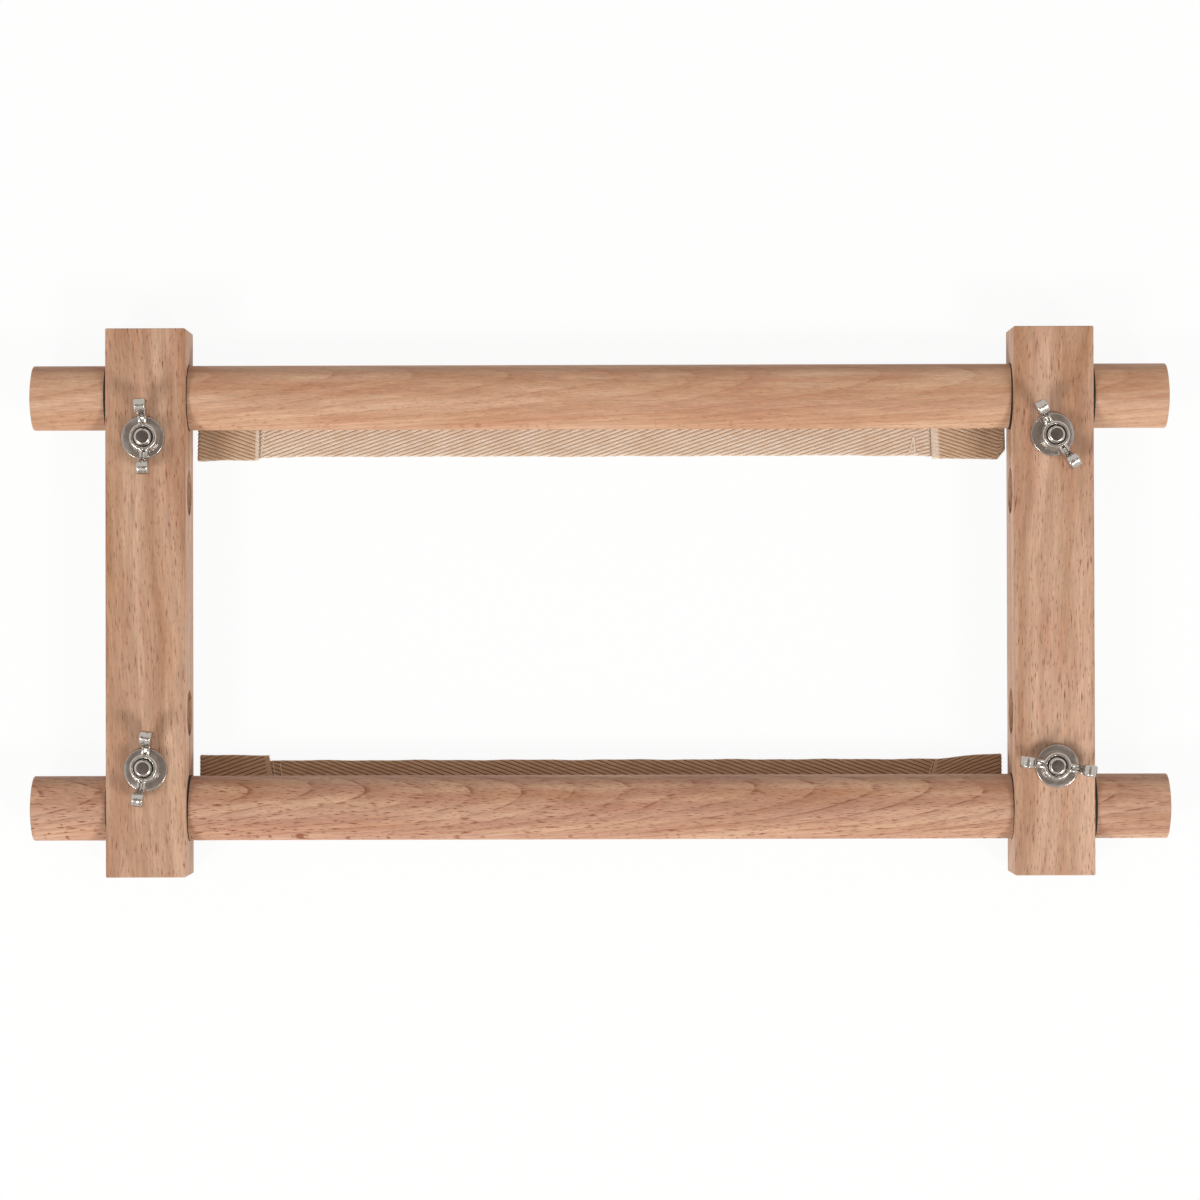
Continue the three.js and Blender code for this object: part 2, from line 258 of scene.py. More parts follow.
    # Rays are thin sheets that run out from the pith, cut across into pointed strokes. Each layer
    # is one stroke to a cell: the cell's width and length in millimetres, and how dark it is
    marks = None
    for width, length, strength in (
        (1.2, 14, 1.0), (0.95, 11, 0.9), (0.75, 8, 0.85), (0.6, 6, 0.8),
    ):
        cells = per_mm(1e6, width * stroke_size, length * stroke_size)
        start = (0, seed + 3 * width, seed + length)
        spot = add(tree, VECTOR, {0: wood, 1: cells, 2: start}, operation="MULTIPLY_ADD")
        spot = add(tree, "ShaderNodeSeparateXYZ", {0: spot}).outputs
        across = add(tree, "ShaderNodeCombineXYZ", {0: spot[1], 1: spot[2]})
        cell = add(tree, "ShaderNodeTexVoronoi", {
            "Vector": across, "Scale": 1.0,
        }, voronoi_dimensions="2D", distance="MANHATTAN").outputs
        chance = add(tree, "ShaderNodeSeparateColor", {0: cell["Color"]}).outputs
        reach = add(tree, MATH, {0: chance[0], 1: 0.13, 2: 0.08}, operation="MULTIPLY_ADD")
        core = add(tree, MATH, {0: reach, 1: 0.4}, operation="MULTIPLY")
        stroke = add(tree, SPREAD, {"Value": cell["Distance"], "From Min": reach, "From Max": core})
        dark = add(tree, SPREAD, {
            "Value": chance[1], "To Min": 0.3 * marked, "To Max": strength * marked,
        })
        stroke = add(tree, MATH, {0: stroke, 1: dark}, operation="MULTIPLY")
        if marks is not None:
            stroke = add(tree, MATH, {0: marks, 1: stroke}, operation="MAXIMUM")
        marks = stroke
    crowds = uneven((6, 4, 12), 17, 1.0)
    thick = add(tree, SPREAD, {"Value": crowds, "From Min": 0.3, "From Max": 0.6, "To Min": 0.45})
    marks = add(tree, MATH, {0: marks, 1: thick}, operation="MULTIPLY", use_clamp=True)

    # End grain drinks in more light
    facing = add(tree, "ShaderNodeMapping", {
        "Vector": coordinates.outputs["Normal"], "Rotation": turn,
    }, vector_type="TEXTURE")
    ends = add(tree, "ShaderNodeSeparateXYZ", {0: facing}).outputs[2]
    ends = add(tree, MATH, {0: ends}, operation="ABSOLUTE")
    ends = add(tree, SPREAD, {"Value": ends, "From Min": 0.6, "From Max": 0.95, "To Max": 0.35})
    for share, tone in ((marks, fleck), (ends, "#8f6748")):
        colour = add(tree, MIX, {0: share, 6: colour, 7: linear(tone)}, data_type="RGBA").outputs[2]

    height = add(tree, MATH, {0: marks, 1: -0.6, 2: fibres}, operation="MULTIPLY_ADD")
    bump = add(tree, "ShaderNodeBump", {"Height": height, "Strength": 0.35, "Distance": 0.06 * mm})
    rough = add(tree, SPREAD, {
        "Value": fibres, "From Min": 0.2, "From Max": 0.8, "To Min": 0.62, "To Max": 0.52,
    })
    feed(shader, {
        "Base Color": colour, "Normal": bump, "Roughness": rough, "Diffuse Roughness": 0.9,
    })
    return material


def webbing(name, thin, thick, gap, folded_side_and_shade_tone):
    """Natural cotton tape, woven as a twill with raised diagonal ribs: matt, slightly fuzzy yarn,
    pale where it floats, and painted shade where it dives. thin and thick are the colours of its
    yarn, gap the painted shade between the yarns, and the last colour tones down the folded ends:
    the cloth's other side, with painted shade from the arms. The cloth map holds lengths along and
    across."""
    material, tree, shader = new_material(name)
    cloth = add(tree, "ShaderNodeUVMap", uv_map="cloth")
    place = add(tree, "ShaderNodeSeparateXYZ", {0: cloth}).outputs

    # Four warp ends and four picks to a rib. Each end floats over three picks and dives under one
    pick = add(tree, MATH, {0: place[0], 1: rib_along / 4}, operation="DIVIDE")
    end = add(tree, MATH, {0: place[1], 1: rib_across / 4}, operation="DIVIDE")
    yarn = add(tree, MATH, {0: end}, operation="FLOOR")
    beside = add(tree, MATH, {0: end, 1: 0.5}, operation="PINGPONG")
    rounded = add(tree, SPREAD, {
        "Value": beside, "From Max": 0.35,
    }, interpolation_type="SMOOTHSTEP")
    along = add(tree, MATH, {0: pick, 1: yarn}, operation="SUBTRACT")
    along = add(tree, MATH, {0: along, 1: 0.5}, operation="SUBTRACT")
    float_height = add(tree, MATH, {0: along, 1: 2.0}, operation="PINGPONG")
    raised = add(tree, SPREAD, {
        "Value": float_height, "From Min": 0.15, "From Max": 0.95,
    }, interpolation_type="SMOOTHSTEP")

    # Every yarn is thicker and paler in some stretches, about 5 mm long
    stretch = add(tree, MATH, {0: place[0], 1: 5 * mm}, operation="DIVIDE")
    lane = add(tree, MATH, {0: yarn, 1: 1.7}, operation="DIVIDE")
    spot = add(tree, "ShaderNodeCombineXYZ", {0: stretch, 1: lane})
    uneven = add(tree, NOISE, {"Vector": spot, "Scale": 1.0, "Detail": 3.0})
    share = add(tree, SPREAD, {"Value": uneven, "From Min": 0.3, "From Max": 0.7})
    colour = add(tree, MIX, {
        0: share, 6: linear(thin), 7: linear(thick),
    }, data_type="RGBA").outputs[2]

    # Handling has left it browner in patches 11 mm across. The gaps between ribs and the sides of
    # each yarn get painted shade
    soil = add(tree, NOISE, {"Vector": cloth, "Scale": 90.0, "Detail": 3.0})
    share = add(tree, SPREAD, {"Value": soil, "From Min": 0.4, "From Max": 0.75, "To Max": 0.35})
    colour = add(tree, MIX, {
        0: share, 6: colour, 7: linear("#cfa987"),
    }, data_type="RGBA").outputs[2]
    for height, amount in ((raised, 0.9), (rounded, 0.25)):
        share = add(tree, SPREAD, {"Value": height, "To Min": amount, "To Max": 0.0})
        colour = add(tree, MIX, {0: share, 6: colour, 7: linear(gap)}, data_type="RGBA").outputs[2]

    # The cloth's other side on the folded ends, darkened further as painted shade from the arms,
    # its pressed raw edges, and painted shade in its needle holes
    folded = add(tree, "ShaderNodeAttribute", attribute_name="folded").outputs["Fac"]
    colour = add(tree, MIX, {
        0: folded, 6: colour, 7: linear(folded_side_and_shade_tone),
    }, data_type="RGBA", blend_type="MULTIPLY").outputs[2]
    pressed = add(tree, "ShaderNodeAttribute", attribute_name="pressed").outputs["Fac"]
    worn = add(tree, MIX, {
        0: uneven, 6: linear(thin), 7: linear(thick),
    }, data_type="RGBA").outputs[2]
    share = add(tree, MATH, {0: pressed, 1: 0.8}, operation="MULTIPLY")
    colour = add(tree, MIX, {0: share, 6: colour, 7: worn}, data_type="RGBA").outputs[2]
    # Painted shade in the needle holes, where the cloth is pulled in
    holes = add(tree, "ShaderNodeAttribute", attribute_name="needle_holes").outputs["Fac"]
    share = add(tree, MATH, {0: holes, 1: 0.35}, operation="MULTIPLY")
    colour = add(tree, MIX, {
        0: share, 6: colour, 7: linear("#7d5538"),
    }, data_type="RGBA").outputs[2]

    fuzz = add(tree, NOISE, {"Vector": cloth, "Scale": 9000.0, "Detail": 2.0})  # 0.1 mm
    woven = add(tree, MATH, {0: raised, 1: rounded}, operation="MULTIPLY")
    height = add(tree, MATH, {0: fuzz, 1: 0.35, 2: woven}, operation="MULTIPLY_ADD")
    bump = add(tree, "ShaderNodeBump", {"Height": height, "Strength": 0.8, "Distance": 0.12 * mm})
    feed(shader, {
        "Base Color": colour, "Normal": bump, "Roughness": 0.95, "Sheen Weight": 0.2,
        "Sheen Roughness": 0.5, "Specular IOR Level": 0.2,
    })
    return material


def mottled(name, first, second, scale, detail, strength, depth, roughness):
    """A plain matt finish in two tones, uneven where its tones change. scale is the number of
    changes to a metre."""
    material, tree, shader = new_material(name)
    place = add(tree, "ShaderNodeTexCoord").outputs["Object"]
    uneven = add(tree, NOISE, {"Vector": place, "Scale": scale, "Detail": detail})
    colour = add(tree, MIX, {
        0: uneven, 6: linear(first), 7: linear(second),
    }, data_type="RGBA").outputs[2]
    bump = add(tree, "ShaderNodeBump", {"Height": uneven, "Strength": strength, "Distance": depth})
    feed(shader, {"Base Color": colour, "Normal": bump, "Roughness": roughness})
    return material


def plated_steel(name, shade, roughness, scratch, dimple, depth):
    """Steel with a bright zinc plate: silvery grey, with fine random scratches and slightly dull
    patches. scratch is the width and length of the marks left by the tool. dimple and depth are
    the width and depth of the unevenness under the plate, from the mould, the saw or the punch."""
    material, tree, shader = new_material(name)
    place = add(tree, "ShaderNodeTexCoord").outputs["Object"]
    width, length = scratch
    marks = add(tree, VECTOR, {0: place, 1: per_mm(width, length, length)}, operation="MULTIPLY")
    brushed = add(tree, NOISE, {"Vector": marks, "Scale": 1.0, "Detail": 3.0})
    dull = add(tree, NOISE, {"Vector": place, "Scale": 420.0, "Detail": 3.0})  # 2.4 mm
    light = linear(shade)
    dark = [c * 0.7 for c in light[:3]] + [1]
    colour = add(tree, MIX, {0: dull, 6: dark, 7: light}, data_type="RGBA").outputs[2]
    rough = add(tree, SPREAD, {
        "Value": dull, "From Min": 0.3, "From Max": 0.7,
        "To Min": roughness, "To Max": roughness + 0.08,
    })
    dimples = add(tree, NOISE, {"Vector": place, "Scale": per_mm(dimple)[0], "Detail": 1.5})
    under = add(tree, "ShaderNodeBump", {"Height": dimples, "Strength": 1.0, "Distance": depth})
    bump = add(tree, "ShaderNodeBump", {
        "Height": brushed, "Strength": 0.12, "Distance": 0.02 * mm, "Normal": under,
    })
    feed(shader, {"Base Color": colour, "Normal": bump, "Roughness": rough, "Metallic": 1})
    return material


def in_scene(name, data):
    """A new object in the scene, for a mesh, a lamp or a camera."""
    thing = bpy.data.objects.new(name, data)
    bpy.context.scene.collection.objects.link(thing)
    return thing


def mesh_object(name, vertices, faces, material=None, edges=()):
    """A new object of the given vertices, edges and faces, with its faces pointing out."""
    mesh = bpy.data.meshes.new(name)
    mesh.from_pydata([tuple(v) for v in vertices], edges, [tuple(f) for f in faces])
    work = bmesh.new()
    work.from_mesh(mesh)
    bmesh.ops.recalc_face_normals(work, faces=work.faces)
    work.to_mesh(mesh)
    work.free()
    if material:
        mesh.materials.append(material)
    return in_scene(name, mesh)


def lines_object(lines):
    """Open lines of points, for a Geometry Nodes tree to follow."""
    vertices, edges = [], []
    for line in lines:
        edges += [(len(vertices) + i, len(vertices) + i + 1) for i in range(len(line) - 1)]
        vertices += [tuple(point) for point in line]
    return mesh_object("lines", vertices, [], edges=edges)


def smooth(thing, angle=35):
    """Smooth shading, except across edges sharper than the angle in degrees."""
    thing.data.shade_smooth()
    thing.data.set_sharp_from_angle(angle=math.radians(angle))


def finished(source, name):
    """The plain mesh that an object's modifiers give. The object itself is removed."""
    depsgraph = bpy.context.evaluated_depsgraph_get()
    mesh = bpy.data.meshes.new_from_object(source.evaluated_get(depsgraph))
    mesh.name = name
    bpy.data.objects.remove(source)
    return in_scene(name, mesh)


def arc(x, y, radius, start, end, steps):
    """Points along a circular arc, angles in degrees."""
    angles = np.radians(np.linspace(start, end, steps + 1))
    return [(x + radius * math.cos(a), y + radius * math.sin(a)) for a in angles]


def dome(half_width, height, rise, steps):
    """The profile of a shallow dome, from its edge to its crown on the axis."""
    radius = (half_width ** 2 + rise ** 2) / (2 * rise)
    edge = math.degrees(math.acos(half_width / radius))
    return arc(0, height + rise - radius, radius, edge, 90, steps)[:-1] + [(0, height + rise)]


def turned(name, profile, place, material, segments=96, square=()):
    """A turned piece. The profile's (radius, height) points start and end on the axis or close on
    themselves. The rows listed in square are square in section, with that radius to each flat."""
    angles = [2 * math.pi * i / segments for i in range(segments)]
    vertices, rings = [], []
    for row, (radius, height) in enumerate(profile):
        if radius < 1e-9:
            rings.append([len(vertices)] * segments)
            vertices.append(place @ Vector((0, 0, height)))
            continue
        rings.append([len(vertices) + i for i in range(segments)])
        for angle in angles:
            c, s = math.cos(angle), math.sin(angle)
            reach = radius / max(abs(c), abs(s)) if row in square else radius
            vertices.append(place @ Vector((reach * c, reach * s, height)))
    closes = profile[0][0] > 1e-9
    faces = []
    for a, b in zip(rings, rings[1:] + rings[:1] if closes else rings[1:]):
        for i in range(segments):
            j = (i + 1) % segments
            faces.append(list(dict.fromkeys([a[i], a[j], b[j], b[i]])))
    thing = mesh_object(name, vertices, faces, material)
    smooth(thing)
    return thing


def along_x(x, y, z):
    """Places a turned piece with its axis along X."""
    return Matrix.Translation((x, y, z)) @ Matrix.Rotation(math.radians(90), 4, "Y")


def prism(name, outline, depth, place):
    """A straight-sided block: an outline in the XY plane, drawn out both ways along Z."""
    count = len(outline)
    vertices = [place @ Vector((x, y, z)) for z in (-depth / 2, depth / 2) for x, y in outline]
    sides = [(i, (i + 1) % count, count + (i + 1) % count, count + i) for i in range(count)]
    return mesh_object(name, vertices, [range(count), range(count, 2 * count), *sides])


def clamp_cutters(x, up):
    """What is cut out of an arm at one end: bore, slot and relief hole in one outline seen from
    the side, the bolt's hole, and the square seat for its neck in the arm's back."""
    bore_radius = roller_radius + turning_gap
    bore_mouth = math.degrees(math.asin(slot_width / 2 / bore_radius))
    relief_mouth = math.degrees(math.asin(slot_width / 2 / relief_radius))
    outline = arc(0, 0, bore_radius, bore_mouth, 360 - bore_mouth, 96)
    outline += arc(relief_offset, 0, relief_radius, -180 + relief_mouth, 180 - relief_mouth, 72)
    side = along_x(x, up * roller_y, axis_z) @ Matrix.Rotation(math.radians(-90 * up), 4, "Z")
    bolt_y = up * (roller_y - bolt_offset)
    bolt = Matrix.Translation((x, bolt_y, axis_z))
    seat = neck_half + turning_gap
    square = [(seat, seat), (-seat, seat), (-seat, -seat), (seat, -seat)]
    seat_depth = neck_depth + turning_gap
    seat_place = Matrix.Translation((x, bolt_y, arm_low.z))
    hole = arc(0, 0, bolt_radius + turning_gap, 0, 360, 48)[:-1]
    return [
        prism("bore cutter", outline, arm_width * 1.2, side),
        prism("bolt hole cutter", hole, arm_depth * 1.2, bolt),
        prism("neck seat cutter", square, 2 * seat_depth, seat_place),
    ]


def make_arm(column, material):
    """An arm: a squared beech bar with eased edges, and a keyhole clamp at each end."""
    x = arm_x if column == "right" else -arm_x
    mesh = bpy.data.meshes.new("arm")
    work = bmesh.new()
    size = Matrix.Diagonal((arm_width, arm_length, arm_depth, 1))
    bmesh.ops.create_cube(work, size=1, matrix=Matrix.Translation((x, 0, axis_z)) @ size)
    bmesh.ops.bevel(work, geom=work.edges[:], offset=arm_edge, offset_type="OFFSET",
                    segments=4, profile=0.5, affect="EDGES")
    work.to_mesh(mesh)
    work.free()
    arm = in_scene("arm", mesh)
    cutters = clamp_cutters(x, 1) + clamp_cutters(x, -1)
    for cutter in cutters:
        cut = arm.modifiers.new("cut", "BOOLEAN")
        cut.operation = "DIFFERENCE"
        cut.solver = "EXACT"
        cut.object = cutter
    arm = finished(arm, f"{column}_beech_arm")
    for cutter in cutters:
        bpy.data.objects.remove(cutter)
    arm.data.materials.clear()
    arm.data.materials.append(material)
    smooth(arm)
    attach(arm, f"{column}_arm")
    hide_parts(f"{column}_arm")


def make_roller(row, material):
    """A roller: a beech dowel with softened edges and slightly domed ends."""
    flat = roller_radius - roller_edge
    shoulder = roller_length / 2 - roller_crown
    half = arc(flat, shoulder - roller_edge, roller_edge, 0, 90, 6)
    half += dome(flat, shoulder, roller_crown, 8)[1:]
    profile = [(radius, -height) for radius, height in reversed(half)] + half
    up = 1 if row == "upper" else -1
    roller = turned(f"{row}_beech_roller", profile, along_x(0, up * roller_y, axis_z), material)
    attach(roller, f"{row}_roller")
    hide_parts(f"{row}_roller")


def make_sleeve(row, column, material):
    """The thin black sleeve that lines a bore. It stands out a little on both sides of the arm,
    and its end on the inside is cut askew."""
    up = 1 if row == "upper" else -1
    right = 1 if column == "right" else -1
    outside, inside, askew = sleeve_reach[row, column]
    inner = roller_radius + 0.05 * mm
    outer = roller_radius + turning_gap - 0.01 * mm
    rounded = 0.06 * mm
    half = arm_width / 2
    low = -half - (inside if right > 0 else outside)
    high = half + (outside if right > 0 else inside)
    profile = [
        (inner, low), (outer - rounded, low), (outer, low + rounded),
        (outer, high - rounded), (outer - rounded, high), (inner, high),
    ]
    place = along_x(right * arm_x, up * roller_y, axis_z)
    sleeve = turned(f"{row}_{column}_rubber_sleeve", profile, place, material)
    for vertex in sleeve.data.vertices:
        if abs(vertex.co.x) < arm_x - half:
            vertex.co.x -= right * askew * (vertex.co.y - up * roller_y)
    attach(sleeve, f"{column}_arm")


def geometry_tree(name, sizes):
    """An empty Geometry Nodes tree with a named input for each size, as (tree, its inputs)."""
    tree = bpy.data.node_groups.new(name, "GeometryNodeTree")
    kinds = {
        float: "NodeSocketFloat", int: "NodeSocketInt", bpy.types.Material: "NodeSocketMaterial",
    }
    tree.interface.new_socket("Geometry", in_out="INPUT", socket_type="NodeSocketGeometry")
    for label, value in sizes.items():
        tree.interface.new_socket(label, in_out="INPUT", socket_type=kinds[type(value)])
    tree.interface.new_socket("Geometry", in_out="OUTPUT", socket_type="NodeSocketGeometry")
    return tree, add(tree, "NodeGroupInput").outputs


def close_tree(tree, geometry, material):
    """Ends a tree: instances made real, the material set."""
    real = add(tree, "GeometryNodeRealizeInstances", {0: geometry})
    painted = add(tree, "GeometryNodeSetMaterial", {"Geometry": real, "Material": material})
    add(tree, "NodeGroupOutput", {0: painted})


def round_wire(tree, curve, sides, radius, caps=True):
    """Sweeps a round section along a curve: a thread, yarn, fibre or wire."""
    section = add(tree, "GeometryNodeCurvePrimitiveCircle", {
        "Resolution": sides, "Radius": radius,
    })
    return add(tree, "GeometryNodeCurveToMesh", {
        "Curve": curve, "Profile Curve": section, "Fill Caps": caps,
    })


def grown(name, lines, tree, sizes):
    """The plain mesh that a Geometry Nodes tree makes of the given lines."""
    source = lines_object(lines)
    modifier = source.modifiers.new(name, "NODES")
    modifier.node_group = tree
    for socket in tree.interface.items_tree:
        if socket.name in sizes:
            modifier[socket.identifier] = sizes[socket.name]
    thing = finished(source, name)
    smooth(thing, 50)
    return thing


def rolled_thread(material):
    """A thread: one triangular ridge that winds up the bolt, sunk into its core."""
    sizes = {
        "Core radius": bolt_radius - thread_depth, "Crest radius": bolt_radius,
        "Pitch": thread_pitch, "Turns": (thread_length - bolt_chamfer) / thread_pitch,
        "Finish": material,
    }
    tree, given = geometry_tree("rolled thread", sizes)
    crest, core = given["Crest radius"], given["Core radius"]
    ridge = add(tree, MATH, {0: crest, 1: core}, operation="SUBTRACT")
    size = add(tree, MATH, {0: ridge, 1: 1.02}, operation="MULTIPLY")
    middle = add(tree, MATH, {0: crest, 1: size}, operation="SUBTRACT")
    height = add(tree, MATH, {0: given["Pitch"], 1: given["Turns"]}, operation="MULTIPLY")
    helix = add(tree, "GeometryNodeCurveSpiral", {
        "Resolution": 40, "Rotations": given["Turns"], "Start Radius": middle, "End Radius": middle,
        "Height": height, "Reverse": False,
    })
    upright = add(tree, "GeometryNodeSetCurveNormal", {0: helix}, mode="Z_UP")
    section = add(tree, "GeometryNodeCurvePrimitiveCircle", {"Resolution": 3, "Radius": size})
    turn = add(tree, "GeometryNodeTransform", {"Geometry": section, "Rotation": (0, 0, math.pi)})
    swept = add(tree, "GeometryNodeCurveToMesh", {
        "Curve": upright, "Profile Curve": turn, "Fill Caps": True,
    })
    close_tree(tree, swept, given["Finish"])
    return tree, sizes


def make_bolt(row, column, material, sawn, thread):
    """A carriage bolt: domed head, square neck, plain shank and rolled thread."""
    low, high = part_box(f"{row}_{column}_bolt")
    x, y = (low.x + high.x) / 2, (low.y + high.y) / 2
    tip = high.z - low.z - head_height
    core = bolt_radius - thread_depth
    shank_end = tip - thread_length
    head = [(radius, -height) for radius, height in
            reversed(dome(head_radius, head_rim, head_height - head_rim, 12))]
    first_neck_row = len(head) + 2
    profile = head + [
        (head_radius, -0.1 * mm), (head_radius - 0.2 * mm, 0.05 * mm),
        (neck_half + 0.1 * mm, 0.05 * mm), (neck_half, 0.3 * mm),
        (neck_half, neck_depth - 0.6 * mm), (bolt_radius, neck_depth), (bolt_radius, shank_end),
        (core, shank_end + 0.4 * mm), (core, tip - bolt_chamfer - 0.6 * mm),
    ]
    # The tip's rounded end: how far each row is from the bolt's full radius and from its tip
    for inset, below in (
        (0.06 * mm, bolt_chamfer + 0.35 * mm), (0.1 * mm, bolt_chamfer), (0.15 * mm, 0.6 * mm),
        (0.35 * mm, 0.28 * mm), (0.6 * mm, 0.1 * mm), (0.8 * mm, 0.04 * mm), (1.1 * mm, 0),
        (bolt_radius, 0),
    ):
        profile.append((bolt_radius - inset, tip - below))
    place = Matrix.Translation((x, y, low.z + head_height))
    square = range(first_neck_row, first_neck_row + 3)
    bolt = turned(f"{row}_{column}_carriage_bolt", profile, place, material, 64, square)
    # The tip's faces take the darker finish, which carries a painted dark reflection
    bolt.data.materials.append(sawn)
    for face in bolt.data.polygons:
        if face.center.z > low.z + head_height + tip - 0.05 * mm:
            face.material_index = 1
    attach(bolt, f"{column}_arm")
    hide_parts(f"{row}_{column}_bolt")
    ridge = grown(f"{row}_{column}_bolt_thread", [[(0, 0, 0)]], *thread)
    ridge.data.transform(place @ Matrix.Translation((0, 0, shank_end + 0.3 * mm)))
    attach(ridge, f"{column}_arm")


def make_washer(row, column, material):
    """A stamped washer, with its upper edges rounded over by the punch."""
    low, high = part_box(f"{row}_{column}_washer")
    rim, thickness = (high.x - low.x) / 2, high.z - low.z
    burr = 0.1 * mm
    profile = [(washer_hole, burr), (washer_hole + burr, 0), (rim - burr, 0), (rim, burr)]
    profile += arc(rim - washer_edge, thickness - washer_edge, washer_edge, 0, 90, 4)
    profile += arc(washer_hole + washer_edge, thickness - washer_edge, washer_edge, 90, 180, 4)
    place = Matrix.Translation(((low.x + high.x) / 2, (low.y + high.y) / 2, low.z))
    washer = turned(f"{row}_{column}_stamped_washer", profile, place, material)
    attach(washer, f"{row}_{column}_washer")
    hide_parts(f"{row}_{column}_washer")


def make_wing_nut(row, column, material):
    """A wing nut with the soft edges of a casting: the solid's own shape, remade with fine, evenly
    spaced faces and relaxed."""
    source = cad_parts[f"{row}_{column}_wing_nut"]
    work = bmesh.new()
    work.from_mesh(source.data)
    bmesh.ops.remove_doubles(work, verts=work.verts, dist=0.001 * mm)
    mesh = bpy.data.meshes.new("casting")
    work.to_mesh(mesh)
    work.free()
    nut = in_scene("casting", mesh)
    cast = nut.modifiers.new("cast", "REMESH")
    cast.mode = "VOXEL"
    cast.voxel_size = 0.2 * mm
    relax = nut.modifiers.new("relax", "SMOOTH")
    relax.factor = 0.5
    relax.iterations = 5
    nut = finished(nut, f"{row}_{column}_cast_wing_nut")
    nut.data.materials.clear()
    nut.data.materials.append(material)
    nut.data.shade_smooth()
    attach(nut, f"{row}_{column}_wing_nut")
    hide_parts(f"{row}_{column}_wing_nut")


def followed_thread(material):
    """A round thread along each line that it is given."""
    sizes = {"Thread radius": thread_radius, "Finish": material}
    tree, given = geometry_tree("thread", sizes)
    line = add(tree, "GeometryNodeMeshToCurve", {"Mesh": given["Geometry"]})
    close_tree(tree, round_wire(tree, line, 6, given["Thread radius"]), given["Finish"])
    return tree, sizes


def selvedge_loops(material):
    """The weft's turns round the edge yarn of a woven tape: one small ring for every pick."""
    sizes = {
        "Spacing": rib_along / 4, "Loop radius": 0.22 * mm, "Yarn radius": 0.12 * mm,
        "Finish": material,
    }
    tree, given = geometry_tree("selvedge", sizes)
    line = add(tree, "GeometryNodeMeshToCurve", {"Mesh": given["Geometry"]})
    picks = add(tree, "GeometryNodeCurveToPoints", {
        "Curve": line, "Length": given["Spacing"],
    }, mode="LENGTH")
    ring = add(tree, "GeometryNodeCurvePrimitiveCircle", {
        "Resolution": 7, "Radius": given["Loop radius"],
    })
    loop = round_wire(tree, ring, 4, given["Yarn radius"], caps=False)
    turn = add(tree, "FunctionNodeAlignRotationToVector", {
        "Vector": picks.outputs["Tangent"],
    }, axis="Z")
    jitter = add(tree, "FunctionNodeRandomValue", {
        "Min": (-0.3, -0.3, 0), "Max": (0.3, 0.3, 0), "Seed": 3,
    }, data_type="FLOAT_VECTOR")
    askew = add(tree, "FunctionNodeEulerToRotation", {0: jitter})
    turned_loop = add(tree, "FunctionNodeRotateRotation", {
        "Rotation": turn, "Rotate By": askew,
    }, rotation_space="LOCAL")
    loops = add(tree, "GeometryNodeInstanceOnPoints", {
        "Points": picks.outputs["Points"], "Instance": loop, "Rotation": turned_loop,
    })
    close_tree(tree, loops, given["Finish"])
    return tree, sizes


def frayed_ends(material):
    """Loose fibres along a raw edge: thin, short and each at an angle of its own."""
    sizes = {
        "Fibres": 46, "Longest": 0.9 * mm, "Fibre radius": 0.045 * mm, "Seed": 5,
        "Finish": material,
    }
    tree, given = geometry_tree("frayed ends", sizes)
    line = add(tree, "GeometryNodeMeshToCurve", {"Mesh": given["Geometry"]})
    roots = add(tree, "GeometryNodeCurveToPoints", {
        "Curve": line, "Count": given["Fibres"],
    }, mode="COUNT")
    tip = add(tree, "ShaderNodeCombineXYZ", {0: given["Longest"]})
    fibre = add(tree, "GeometryNodeCurvePrimitiveLine", {"End": tip})
    hair = round_wire(tree, fibre, 4, given["Fibre radius"])
    angle = add(tree, "FunctionNodeRandomValue", {
        "Min": (0, -0.9, -0.8), "Max": (0, 0.5, 0.8), "Seed": given["Seed"],
    }, data_type="FLOAT_VECTOR")
    size = add(tree, "FunctionNodeRandomValue", {
        2: 0.25, 3: 1.0, "Seed": given["Seed"],
    }, data_type="FLOAT")
    hairs = add(tree, "GeometryNodeInstanceOnPoints", {
        "Points": roots.outputs["Points"], "Instance": hair, "Rotation": angle,
        "Scale": size.outputs[1],
    })
    close_tree(tree, hairs, given["Finish"])
    return tree, sizes


def row_of_staples(material):
    """Staples, alike and evenly spaced along X, bent from the wire that is given as one line."""
    sizes = {"Staples": 10, "Spacing": 30 * mm, "Wire radius": 0.35 * mm, "Finish": material}
    tree, given = geometry_tree("staples", sizes)
    wire = add(tree, "GeometryNodeMeshToCurve", {"Mesh": given["Geometry"]})
    staple = round_wire(tree, wire, 8, given["Wire radius"])
    step = add(tree, "ShaderNodeCombineXYZ", {0: given["Spacing"]})
    places = add(tree, "GeometryNodeMeshLine", {"Count": given["Staples"], "Offset": step})
    row = add(tree, "GeometryNodeInstanceOnPoints", {"Points": places, "Instance": staple})
    close_tree(tree, row, given["Finish"])
    return tree, sizes


def ease(x, low, high):
    """A smooth step from 0 at low to 1 at high."""
    t = np.clip((np.asarray(x, float) - low) / (high - low), 0, 1)
    return t * t * (3 - 2 * t)


def ripple(x, waves):
    """The height at x of a sum of waves."""
    return sum(height * np.sin(x / length + start) for height, length, start in waves)


